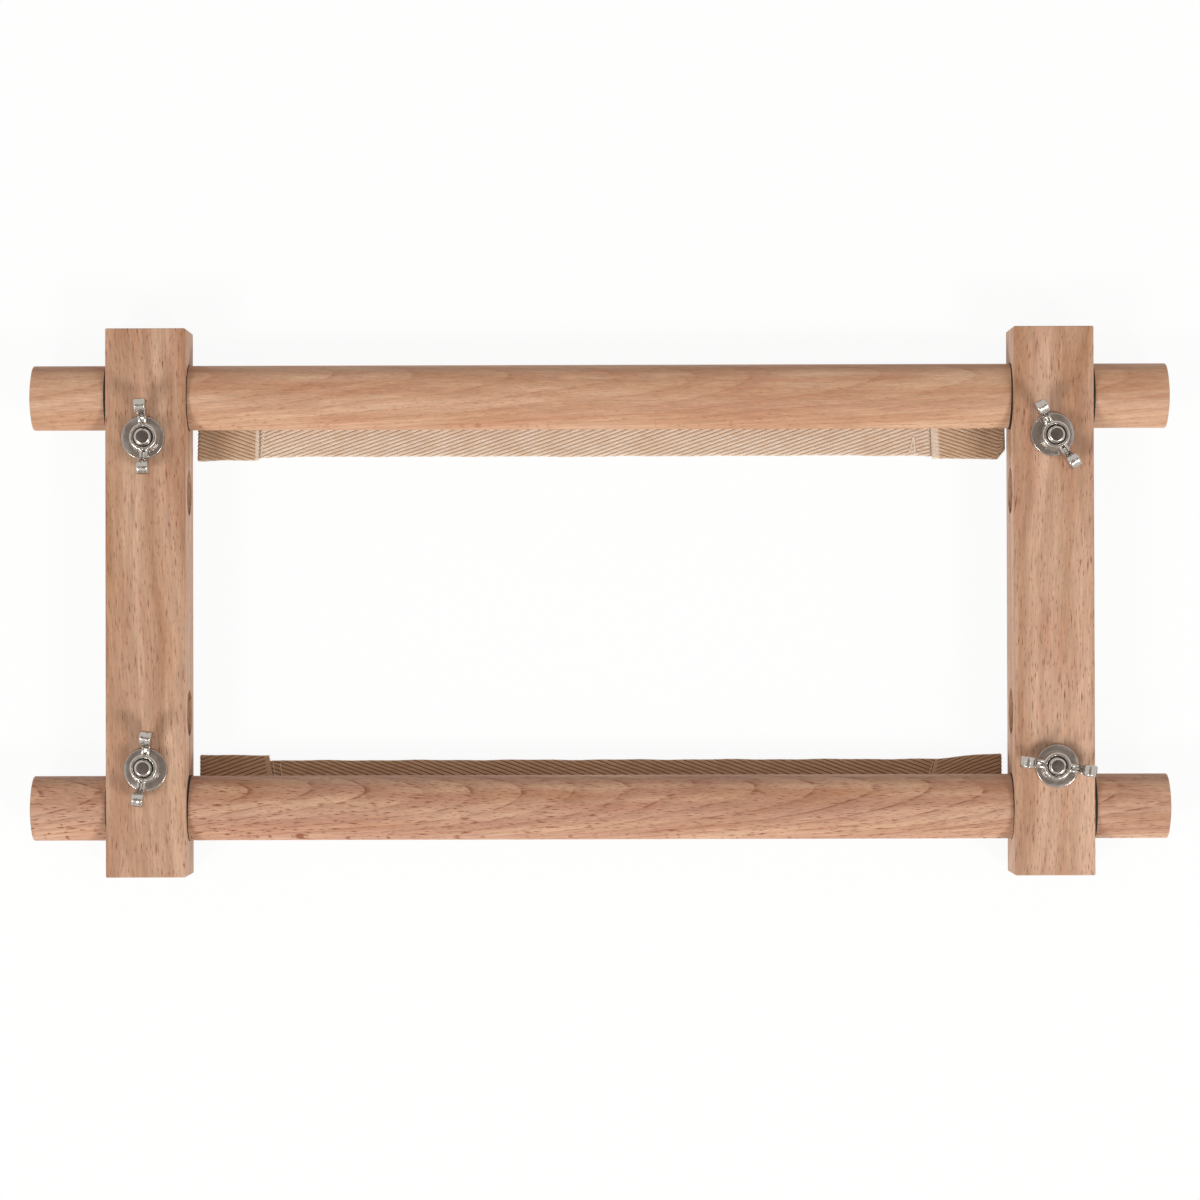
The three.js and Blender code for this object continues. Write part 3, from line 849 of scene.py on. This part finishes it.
class Tape:
    """One webbing tape, seen with its roller along X and its flap towards +Y, as the lower one
    lies. The upper one is turned end for end. Its place along itself is measured from the raw
    edge of its left folded end, and its width from the edge that is fixed to the roller.

    Pairs are for the left and right ends: gaps to the arms, lengths of the hems, shifts of each
    hem towards the free edge at its raw edge and fold, widths of the pressed bands along the raw
    edges, and slants of the raw edges. needles lists rows of needle holes: side, offsets at the
    fixed and free edges, first hole, spacing and reach. dip turns the flap down, in degrees.
    rib_slope is 1 or -1, and dog_ear the size of the corner that is folded in, if any."""

    def __init__(self, row, gaps, hems, shifts, bands, slants, needles, dip, rib_slope,
                 dog_ear=0.0):
        self.row = row
        self.up = 1 if row == "upper" else -1
        order = -1 if self.up > 0 else 1
        gaps, self.hems, self.shifts = gaps[::order], hems[::order], shifts[::order]
        self.bands, self.slants = bands[::order], slants[::order]
        self.needles = needles
        self.length = 2 * arm_x - arm_width - sum(gaps)
        self.offset = (gaps[0] - gaps[1]) / 2
        self.width = tape_seat + tape_flap
        self.dip = math.radians(dip)
        self.rib_slope = rib_slope
        self.dog_ear = dog_ear
        self.trace()

    def trace(self):
        """The middle line from raw edge to raw edge: x along the roller, rise towards the back."""
        low, fold = tape_half, hem_climb / 2
        gap = 0.2 * mm  # between a raw edge and the climb beside it
        turn_steps = 12

        def half(hem):
            end = self.length / 2 - fold - tape_half
            raw = self.length / 2 - hem
            turn = arc(end, low + fold, fold, -90, 90, turn_steps)
            climb = [(raw - gap - hem_step * (1 - t), low + float(ease(t, 0, 1)) * hem_climb)
                     for t in np.linspace(1, 0, 9)]
            return [(raw, low), *turn, *climb]

        left = [(-x, rise) for x, rise in half(self.hems[0])]
        path = np.array(left + half(self.hems[1])[::-1])
        steps = np.hypot(*np.diff(path, axis=0).T)
        self.path = path
        self.path_at = np.concatenate([[0], np.cumsum(steps)])
        self.flat_length = self.path_at[-1]
        self.main_layer = slice(turn_steps + 1, len(path) - turn_steps - 1)

    def middle(self, s):
        """Points on the middle line and its normals towards the front, at lengths along it."""
        def point(t):
            return np.stack([np.interp(t, self.path_at, self.path[:, i]) for i in (0, 1)], axis=-1)
        reach = 0.12 * mm
        tangent = point(s + reach) - point(s - reach)
        tangent /= np.linalg.norm(tangent, axis=-1, keepdims=True)
        normal = np.stack([tangent[..., 1], -tangent[..., 0]], axis=-1)
        return point(s), normal

    def side(self, column):
        """The tape's own side, 0 or 1, for a side of the frame."""
        return int((column == "right") != (self.up > 0))

    def along(self, column, offset):
        """Lengths along the tape at offsets from a folded end's raw edge: on the layer beside it
        if they are positive, and on the folded end if they are negative."""
        side = self.side(column)
        offset = np.asarray(offset, float)
        x = (2 * side - 1) * (self.length / 2 - self.hems[side] - offset)
        beside = np.interp(x, self.path[self.main_layer, 0], self.path_at[self.main_layer])
        folded = self.flat_length + offset if side else -offset
        return np.where(offset > 0, beside, folded)

    def front(self, column, offset, v, above):
        """Points in the frame just above the cloth's front."""
        s = self.along(column, offset)
        return self.place(s, np.asarray(v, float), tape_half + np.asarray(above, float))

    def shift(self, s, x):
        """How far a folded end lies askew towards the free edge."""
        total = np.zeros(np.shape(s))
        for side, (hem, (at_raw, at_fold)) in enumerate(zip(self.hems, self.shifts)):
            from_raw = s if side == 0 else self.flat_length - s
            from_end = self.length / 2 - np.abs(x)
            reach = np.clip((hem - from_end) / hem, 0, 1)
            beside = (x < 0) if side == 0 else (x > 0)
            folded = from_raw < hem
            eased = at_raw + (at_fold - at_raw) * ease(reach, 0, 0.75)
            total = np.where(folded & beside, eased, total)
            near = ~folded & beside & (reach < 1)
            total = np.where(near, at_fold * ease(1 - from_end / hem, 0, 0.9), total)
        return total

    def slant(self, s, v):
        """How far a folded end leans inwards, because its raw edge is cut askew."""
        left = self.slants[0] * np.clip(1 - s / self.hems[0], 0, 1)
        right = self.slants[1] * np.clip(1 - (self.flat_length - s) / self.hems[1], 0, 1)
        return (left - right) * (self.width - v)

    def place(self, s, v, lift):
        """Positions in the frame for lengths s, widths v and heights above the middle line."""
        s, v, lift = np.broadcast_arrays(s, v, lift)
        mid, normal = self.middle(s)
        x = mid[..., 0] + lift * normal[..., 0] + self.slant(s, v)
        rise = mid[..., 1] + lift * normal[..., 1]
        rise = rise + ripple(x, cloth_waves) * ease(v, 0.45 * self.width, self.width)
        v = v + ripple(x, edge_waves) * ease(v, 0.8 * self.width, self.width)
        v = v + self.shift(s, mid[..., 0]) * ease(v, -0.2 * self.width, 0.6 * self.width)
        if self.dog_ear:
            # The free edge is drawn in towards the end, and the cloth below it is squeezed
            from_end = self.length / 2 - np.abs(x)
            beside = x < 0
            top = self.width + 1.4 * mm
            limit = top - self.dog_ear * np.clip(1 - from_end / (0.8 * self.dog_ear), 0, 1)
            start = top - 2 * self.dog_ear
            squeezed = start + (v - start) * (limit - start) / (top - start)
            v = np.where(beside & (v > start), squeezed, v)
        # The fixed width is bent round the roller, and the rest of the tape more gently
        along = v - tape_seat
        seat = roller_radius + seat_clearance
        bend = np.where(along < 0, seat, tape_curl)
        angle = along / bend - math.pi / 2
        reach = bend + rise
        y = reach * np.cos(angle)
        z = reach * np.sin(angle) + bend - seat
        x = x + self.offset
        if self.up > 0:
            x, y = -x, -y
        else:
            c, d = math.cos(self.dip), math.sin(self.dip)
            y, z = y * c + z * d, z * c - y * d
        return np.stack([x, y + self.up * roller_y, z + axis_z], axis=-1)

    def from_raw(self, s):
        """The distance from the nearer raw edge, over the width of its pressed band."""
        return np.minimum(s / self.bands[0], (self.flat_length - s) / self.bands[1])

    def holed(self, s, v):
        """How deep the cloth is pulled in by the needle, from 0 to 1."""
        total = np.zeros(np.shape(s))
        for column, near, far, first, spacing, reach in self.needles:
            line = self.along(column, near + (far - near) * (v / self.width))
            to_line = s - line
            to_hole = (v - first + spacing / 2) % spacing - spacing / 2
            total = np.maximum(total, 1 - ease(np.hypot(to_line, to_hole), 0.3 * reach, reach))
        return total

    def rib(self, s, v):
        """Height of the twill relief, from 0 in a gap to 1 on a rib."""
        phase = v / rib_across - self.rib_slope * s / rib_along
        gap = np.abs(phase - np.round(phase))
        edges = ease(v, 0, 0.9 * mm) * ease(self.width - v, 0, 0.9 * mm)
        return 1 - (1 - ease(gap, 0.02, 0.3)) * edges * ease(self.from_raw(s), 0.6, 1.4)

    def columns(self):
        """Where the mesh is cut along the tape: at every half rib, closely round a fold, and more
        closely still where the needle went through."""
        marks = list(np.arange(0, self.flat_length, rib_along / 2)) + [self.flat_length]
        bends = np.abs(np.diff(np.unwrap(np.arctan2(*np.diff(self.path, axis=0).T[::-1]))))
        for at, bend in zip(self.path_at[1:-1], bends):
            if bend > 0.15:
                marks += list(at + np.array([-0.25, 0, 0.25]) * mm)
            elif bend > 0.01:
                marks += [at]
        for column in ("left", "right"):
            marks += list(self.along(column, np.arange(0.1, 10.2, 0.3) * mm))
            marks += list(self.along(column, np.arange(-3, 0, 0.5) * mm))
        marks = sorted(m for m in marks if 0 <= m <= self.flat_length)
        closest = 0.14 * mm
        kept = [marks[0]]
        for mark in marks[1:]:
            if mark - kept[-1] > closest:
                kept.append(mark)
        kept[-1] = self.flat_length
        return np.array(kept)

    def cloth(self, material):
        """The tape as a closed mesh. Its faces follow the twill ribs, which stand out of it."""
        rows = round(self.width / rib_across * rows_to_a_rib)
        v = np.linspace(0, self.width, rows + 1)
        step = self.width / rows
        s = self.columns()
        grid_s, grid_v = np.meshgrid(s, v, indexing="ij")
        rounded = ease(grid_v, 0, 0.5 * mm) * ease(self.width - grid_v, 0, 0.5 * mm)
        thick = tape_half * (0.35 + 0.65 * rounded) - rib_depth * (1 - self.rib(grid_s, grid_v))
        holed = self.holed(grid_s, grid_v)
        front = self.place(grid_s, grid_v, thick - needle_depth * holed)
        back = self.place(grid_s, grid_v, -thick)
        count = front.shape[0] * front.shape[1]
        index = np.arange(count).reshape(front.shape[:2])
        faces = []
        for j in range(len(s) - 1):
            slant = round(self.rib_slope * (s[j + 1] - s[j]) / rib_along * rib_across / step)
            here, there = index[j], index[j + 1]
            first, second = max(-slant, 0), max(slant, 0)
            span = rows - abs(slant)
            for i in range(span):
                a, b = first + i, second + i
                faces.append((here[a], there[b], there[b + 1], here[a + 1]))
            for i in range(abs(slant)):
                if slant > 0:
                    faces.append((here[0], there[i], there[i + 1]))
                    faces.append((here[span + i], there[rows], here[span + i + 1]))
                else:
                    faces.append((there[0], here[i + 1], here[i]))
                    faces.append((there[span + i], there[span + i + 1], here[rows]))
        faces += [tuple(count + i for i in reversed(face)) for face in faces]
        outline = [*index[:, 0], *index[-1, 1:], *index[-2::-1, rows], *index[0, rows - 1:0:-1]]
        for a, b in zip(outline, outline[1:] + outline[:1]):
            faces.append((b, a, a + count, b + count))
        vertices = np.concatenate([front.reshape(-1, 3), back.reshape(-1, 3)])
        tape = mesh_object(f"{self.row}_webbing_tape", vertices, faces, material)
        cloth_map = tape.data.uv_layers.new(name="cloth")
        flat = np.stack([grid_s * self.rib_slope, grid_v], axis=-1).reshape(-1, 2)
        flat = np.concatenate([flat, flat])
        corner = np.zeros(len(tape.data.loops), np.int32)
        tape.data.loops.foreach_get("vertex_index", corner)
        cloth_map.data.foreach_set("uv", flat[corner].ravel().astype(np.float32))
        pressed = 1 - ease(self.from_raw(grid_s), 0.8, 1.15)
        from_fold = np.maximum(self.hems[0] - grid_s, self.hems[1] - (self.flat_length - grid_s))
        folded = ease(from_fold, -0.2 * mm, 0.2 * mm)
        for name, sides in (
            ("pressed", (pressed, pressed)), ("needle_holes", (holed, 0 * holed)),
            ("folded", (0 * folded, folded)),
        ):
            amount = tape.data.attributes.new(name, "FLOAT", "POINT")
            both = np.concatenate(sides).ravel()
            amount.data.foreach_set("value", both.astype(np.float32))
        tape.data.shade_smooth()
        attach(tape, f"{self.row}_roller")
        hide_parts(f"{self.row}_tape")
        return tape

    def trim(self, name, lines, grower):
        """A piece of thread or yarn on the tape: a Geometry Nodes tree run along the lines."""
        piece = grown(f"{self.row}_{name}", lines, *grower)
        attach(piece, f"{self.row}_roller")
        return piece


def stitch(tape, column, offsets, ends):
    """One stitch of thread on the cloth's front, from needle hole to needle hole. offsets and ends
    are its two places across and along the hem."""
    t = np.linspace(0, 1, 7)
    above = 0.2 * mm * np.sin(np.pi * t) ** 0.6 - 0.1 * mm * (np.abs(2 * t - 1) ** 6)
    offset = offsets[0] + (offsets[1] - offsets[0]) * t
    return tape.front(column, offset, ends[0] + (ends[1] - ends[0]) * t, above)


def upper_seams(tape):
    """The stitches in the upper tape's hems. The left one is a zigzag beside the raw edge, which
    narrows towards the free edge. The right one is straight."""
    lines = []
    near = 0.6 * mm
    for k in range(int((tape.width - 1.6 * mm) / zigzag_pitch)):
        v = seam_start + k * zigzag_pitch
        turn, end = v + zigzag_pitch / 2, v + zigzag_pitch
        wide = 2.0 * mm - 0.8 * mm * float(ease(v, 0.7 * tape.width, tape.width))
        lines.append(stitch(tape, "left", (near, wide), (v, turn)))
        lines.append(stitch(tape, "left", (wide, near), (turn, end)))
        lines.append(stitch(tape, "right", (1.0 * mm, 1.0 * mm), (v + 0.15 * mm, v + 1.25 * mm)))
    # Loose threads beside the right seam, by their offsets in millimetres at four widths
    v = np.array([23.2, 25.4, 27.6, 29.6]) * mm
    for offsets in (
        (6.9, 7.3, 7.8, 8.6), (7.2, 7.5, 8.2, 8.9), (6.6, 6.5, 6.3, 6.0), (6.8, 6.8, 6.6, 6.5),
    ):
        lines.append(tape.front("right", np.array(offsets) * mm, v, 0.15 * mm))
    return lines


def lower_seams(tape):
    """The stitches in the lower tape's hems: straight rows beside raw edges that are cut askew."""
    lines = []
    for column, fixed, free in lower_rows:
        for k in range(int((tape.width - 1.6 * mm) / stitch_pitch)):
            v = seam_start + k * stitch_pitch
            ends = (v, v + 0.9 * stitch_pitch)
            offsets = [fixed + (free - fixed) * end / tape.width for end in ends]
            lines.append(stitch(tape, column, offsets, ends))
    return lines


def make_staples(tape, row_tree):
    """The staples that fix a tape to its roller, out of sight on the roller's back."""
    crown, leg, corner = 5 * mm, 3 * mm, 0.6 * mm
    half = [(crown - corner, 0, 0), (crown, 0, -corner), (crown, 0, -leg)]
    wire = [(-x, y, z) for x, y, z in reversed(half)] + half
    tree, sizes = row_tree
    staples = grown(f"{tape.row}_staples", [wire], tree, sizes)
    middle, v = tape.flat_length / 2, tape_seat / 2
    seat = Vector(tape.place(middle, v, -tape_half - 0.2 * mm))
    above = Vector(tape.place(middle, v, -tape_half - 1 * mm))
    outwards = (above - seat).normalized()
    turn = outwards.to_track_quat("Z", "Y").to_matrix().to_4x4()
    ahead = (sizes["Staples"] - 1) * sizes["Spacing"] / 2
    staples.data.transform(Matrix.Translation(seat) @ turn @ Matrix.Translation((-ahead, 0, 0)))
    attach(staples, f"{tape.row}_roller")


def seen_as_white(tree):
    """1 for the rays that find the background white, and 0 for those that light the frame."""
    ray = add(tree, "ShaderNodeLightPath").outputs
    seen = add(tree, MATH, {0: ray["Is Camera Ray"], 1: ray["Is Glossy Ray"]}, operation="MAXIMUM")
    return add(tree, MATH, {0: seen, 1: ray["Is Transmission Ray"]}, operation="MAXIMUM")


def make_world():
    """A studio round the frame, at a plain level. What looks at it or mirrors it sees white."""
    world = bpy.data.worlds.new("studio")
    bpy.context.scene.world = world
    world.use_nodes = True
    tree = world.node_tree
    tree.nodes.clear()
    seen = seen_as_white(tree)
    colour = add(tree, MIX, {0: seen, 6: linear("#b8b0aa"), 7: linear("#ffffff")}, data_type="RGBA")
    background = add(tree, "ShaderNodeBackground", {"Color": colour.outputs[2], "Strength": 1.0})
    add(tree, "ShaderNodeOutputWorld", {"Surface": background})


def make_floor():
    """A pale table top. It looks white from the camera and keeps the frame's soft shadow."""
    material, tree, shader = new_material("pale table top")
    feed(shader, {"Base Color": linear("#f4f3f1"), "Roughness": 0.9})
    white = add(tree, "ShaderNodeEmission", {"Color": (1, 1, 1, 1), "Strength": 1.0})
    share = add(tree, MATH, {0: seen_as_white(tree), 1: 0.93}, operation="MULTIPLY")
    blend = add(tree, "ShaderNodeMixShader", {0: share, 1: shader, 2: white})
    output = next(node for node in tree.nodes if node.type == "OUTPUT_MATERIAL")
    feed(output, {"Surface": blend})
    half = 4
    sheet = [(-half, -half, 0), (half, -half, 0), (half, half, 0), (-half, half, 0)]
    mesh_object("table top", sheet, [range(4)], material)


def make_cards():
    """Brown cards that only the metal mirrors, as a product photographer sets them."""
    material, _, shader = new_material("brown card")
    feed(shader, {
        "Base Color": linear("#000000"), "Emission Color": linear("#a89c93"),
        "Emission Strength": 1,
    })
    for name, half, near, far in (
        ("card overhead", 0.65, (-0.45, 1.8), (0.5, 1.8)),
        ("card in front", 0.5, (-1.6, 0.2), (-1.6, 0.9)),
    ):
        sheet = [(-half, *near), (half, *near), (half, *far), (-half, *far)]
        card = mesh_object(name, sheet, [range(4)], material)
        for rays in ("camera", "diffuse", "transmission", "volume_scatter", "shadow"):
            setattr(card, f"visible_{rays}", False)


def make_lights():
    """Two lamps, above and in front of the frame to its left and right, as in a product studio."""
    for side in (-1, 1):
        lamp = bpy.data.lights.new("softbox", "AREA")
        lamp.shape = "SQUARE"
        lamp.size = 0.6
        lamp.energy = 27
        softbox = in_scene("softbox", lamp)
        softbox.location = (side * 1.2, -1.15, 2.0)
        aim = Vector((0, 0, 0.02)) - softbox.location
        softbox.rotation_euler = aim.to_track_quat("-Z", "Y").to_euler()
        softbox.visible_camera = False


def make_camera():
    """Looks straight down at the frame from a metre and a half, through a long lens."""
    camera = bpy.data.cameras.new("camera")
    camera.sensor_width = 36
    camera.lens = 123.75
    viewer = in_scene("camera", camera)
    viewer.location = (0.00276, -0.01413, 1.5528)
    viewer.rotation_euler = (0.00968, 0.00181, -0.00255)
    bpy.context.scene.camera = viewer


bpy.context.scene.view_settings.view_transform = "Standard"
make_camera()
make_world()
make_floor()
make_cards()
make_lights()

down = math.radians(-90)
make_arm("left", beech(
    "beech of the left arm", (-0.19, 0, -0.045), (down, 0, math.radians(3)),
    "#cfad91", "#b78d6e", "#8e5636", seed=1, marked=1.2, stroke_size=1.25))
make_arm("right", beech(
    "beech of the right arm", (0.185, 0, -0.05), (down, 0, math.radians(-2)),
    "#d3b196", "#bd9576", "#8e5636", seed=12, marked=1.2, stroke_size=1.25))
# Both rollers' logs lean in them, so that the ends of the rings show as a row of bows along them
make_roller("upper", beech(
    "beech of the upper roller", (0, 0.046, -0.022),
    (0, down - math.radians(3.5), math.radians(2.6)),
    "#d6b394", "#c29675", "#a5633f", seed=23, marked=0.8, stroke_size=0.75, lined=0.35))
make_roller("lower", beech(
    "beech of the lower roller", (0, -0.1064, -0.0217),
    (0, down - math.radians(5.5), math.radians(4.1)),
    "#d0ab8d", "#bc9076", "#8c4f30", seed=34, marked=1.7, stroke_size=1.1, lined=0.8))

# Thin moulded rubber: nearly black and matt, greyed by wood dust in patches 1.4 mm across
rubber = mottled(
    "black rubber", "#120f0e", "#2b211d", scale=700.0, detail=3.0,
    strength=0.3, depth=0.03 * mm, roughness=0.8)

bolt_steel = plated_steel("zinc-plated steel, rolled", "#c8c1ba", 0.13, (0.12, 1.5), 1.6, 0.05 * mm)
# The bolts' tips: bare sawn steel, made darker still as a painted reflection of the dark camera
# side
sawn_steel_with_dark_reflection = plated_steel("steel, sawn and dulled", "#6e645e", 0.3, (0.1, 2), 1.0, 0.05 * mm)
washer_steel = plated_steel("zinc-plated steel, stamped", "#b5ada6", 0.15, (0.1, 3), 7, 0.3 * mm)
nut_steel = plated_steel("zinc-plated casting", "#c6bfb7", 0.13, (0.4, 0.4), 1.5, 0.2 * mm)
staple_steel = plated_steel("galvanised staple wire", "#b3b1ad", 0.3, (0.1, 1), 2, 0.02 * mm)
thread = rolled_thread(bolt_steel)
for row, column in corners:
    make_sleeve(row, column, rubber)
    make_bolt(row, column, bolt_steel, sawn_steel_with_dark_reflection, thread)
    make_washer(row, column, washer_steel)
    make_wing_nut(row, column, nut_steel)

# Two copies of one cotton: the upper tape's lit one, and a darker, redder one for the lower tape,
# which is painted shade from its roller warmed by light bounced off the wood
lit_cotton = webbing(
    "cotton twill webbing", "#edd8be", "#fff6ea", "#b88c66", "#e6d9cb")
shaded_cotton = webbing(
    "cotton twill webbing, browner", "#d8b291", "#efd0b1", "#7d5539", "#ffffff")
# Spun cotton thread: paler and tighter than the tape's yarn, matt, with a twist of 0.4 mm
sewing = mottled(
    "cotton sewing thread", "#dcc7ad", "#fbf0e0", scale=2500.0, detail=2.0,
    strength=0.5, depth=0.05 * mm, roughness=0.85)
upper_tape = Tape(
    "upper", gaps=(2.1 * mm, 0.8 * mm), hems=(23 * mm, 27.5 * mm),
    shifts=((1.2 * mm, 1.2 * mm), (1.4 * mm, 1.2 * mm)), bands=(1.35 * mm, 2.8 * mm),
    slants=(0, 0.03), dip=0, rib_slope=1, dog_ear=4 * mm,
    needles=(
        ("left", 0.6 * mm, 0.6 * mm, seam_start, zigzag_pitch, 0.36 * mm),
        ("left", 2.0 * mm, 1.6 * mm, seam_start + zigzag_pitch / 2, zigzag_pitch, 0.36 * mm),
        ("right", 1.0 * mm, 1.0 * mm, seam_start, zigzag_pitch, 0.45 * mm),
    ))
lower_tape = Tape(
    "lower", gaps=(2.2 * mm, 1.9 * mm), hems=(26 * mm, 25 * mm),
    shifts=((2 * mm, 2 * mm), (0, 1.8 * mm)), bands=(1.9 * mm, 1.2 * mm),
    slants=(0.18, 0.3), dip=20, rib_slope=-1,
    needles=[(*row, seam_start, stitch_pitch, 0.45 * mm) for row in lower_rows])
followed = followed_thread(sewing)
loops = selvedge_loops(sewing)
fray = frayed_ends(sewing)
staples = row_of_staples(staple_steel)
for tape, cotton, seams in (
    (upper_tape, lit_cotton, upper_seams), (lower_tape, shaded_cotton, lower_seams),
):
    cloth = tape.cloth(cotton)
    stitches = tape.trim("hem_stitches", seams(tape), followed)
    s = np.arange(0, tape.flat_length, 1 * mm)
    selvedge = tape.trim("selvedge", [tape.place(s, tape.width - 0.12 * mm, 0)], loops)
    ends = []
    for column in ("left", "right"):
        v = np.linspace(0.3 * mm, tape.width - 0.3 * mm, 40)
        ends.append(tape.front(column, -0.02 * mm, v, -tape_half))
    fibres = tape.trim("frayed_raw_edges", ends, fray)
    make_staples(tape, staples)
